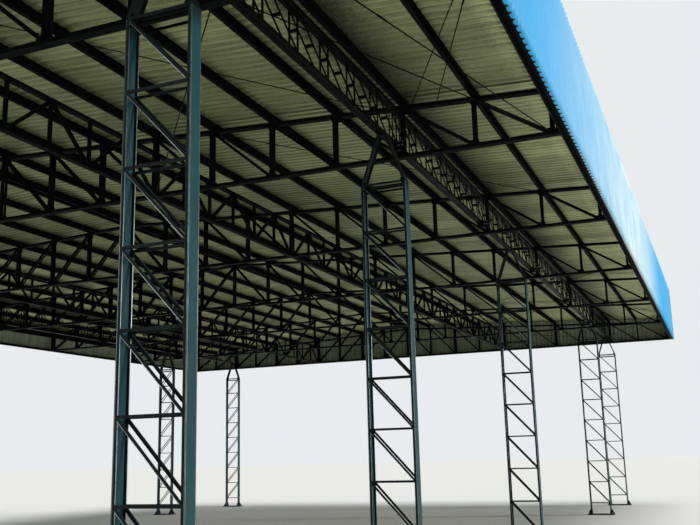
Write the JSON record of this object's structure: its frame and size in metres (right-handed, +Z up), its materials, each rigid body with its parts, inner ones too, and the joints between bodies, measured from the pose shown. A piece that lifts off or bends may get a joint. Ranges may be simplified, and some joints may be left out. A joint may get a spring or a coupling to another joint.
{
  "type": "lattice steel yard canopy",
  "caption": "Long open steel canopy on two rows of laced columns, with lattice girders and trusses, purlins, a low sheet roof and a deep blue sheet fascia.",
  "frame": {"origin": "centre of the footprint, on the ground under the base plates", "axes": "+X across the canopy towards its right-hand fascia, +Y along it towards its far end, +Z up"},
  "size_m": [26.2, 38.42, 9.84],
  "materials": {
    "painted_steel": "semi-gloss dark blue-green paint, weathered",
    "roof_sheet": "dull galvanised sheet, olive grey from below",
    "fascia_sheet": "satin light blue coating"
  },
  "bodies": {
    "root": {"end_truss": "painted_steel", "truss_1": "painted_steel", "truss_2": "painted_steel", "truss_3": "painted_steel", "truss_4": "painted_steel", "truss_5": "painted_steel", "truss_6": "painted_steel", "truss_7": "painted_steel", "right_girder_outer_side": "painted_steel", "right_girder_inner_side": "painted_steel", "right_girder_battens": "painted_steel", "left_girder_outer_side": "painted_steel", "left_girder_inner_side": "painted_steel", "left_girder_battens": "painted_steel", "right_tie_truss": "painted_steel", "left_tie_truss": "painted_steel", "right_column_1": "painted_steel", "right_column_2": "painted_steel", "right_column_3": "painted_steel", "right_column_4": "painted_steel", "right_column_5": "painted_steel", "left_column_1": "painted_steel", "left_column_2": "painted_steel", "left_column_3": "painted_steel", "left_column_4": "painted_steel", "left_column_5": "painted_steel", "right_purlins": "painted_steel", "left_purlins": "painted_steel", "right_edge_beam": "painted_steel", "left_edge_beam": "painted_steel", "right_roof_sheets": "roof_sheet", "left_roof_sheets": "roof_sheet", "right_fascia_posts": "painted_steel", "left_fascia_posts": "painted_steel", "near_fascia_posts": "painted_steel", "far_fascia_posts": "painted_steel", "right_fascia_rails": "painted_steel", "left_fascia_rails": "painted_steel", "near_fascia_rails": "painted_steel", "far_fascia_rails": "painted_steel", "right_fascia": "fascia_sheet", "left_fascia": "fascia_sheet", "near_fascia": "fascia_sheet", "far_fascia": "fascia_sheet"}
  },
  "joints": []
}
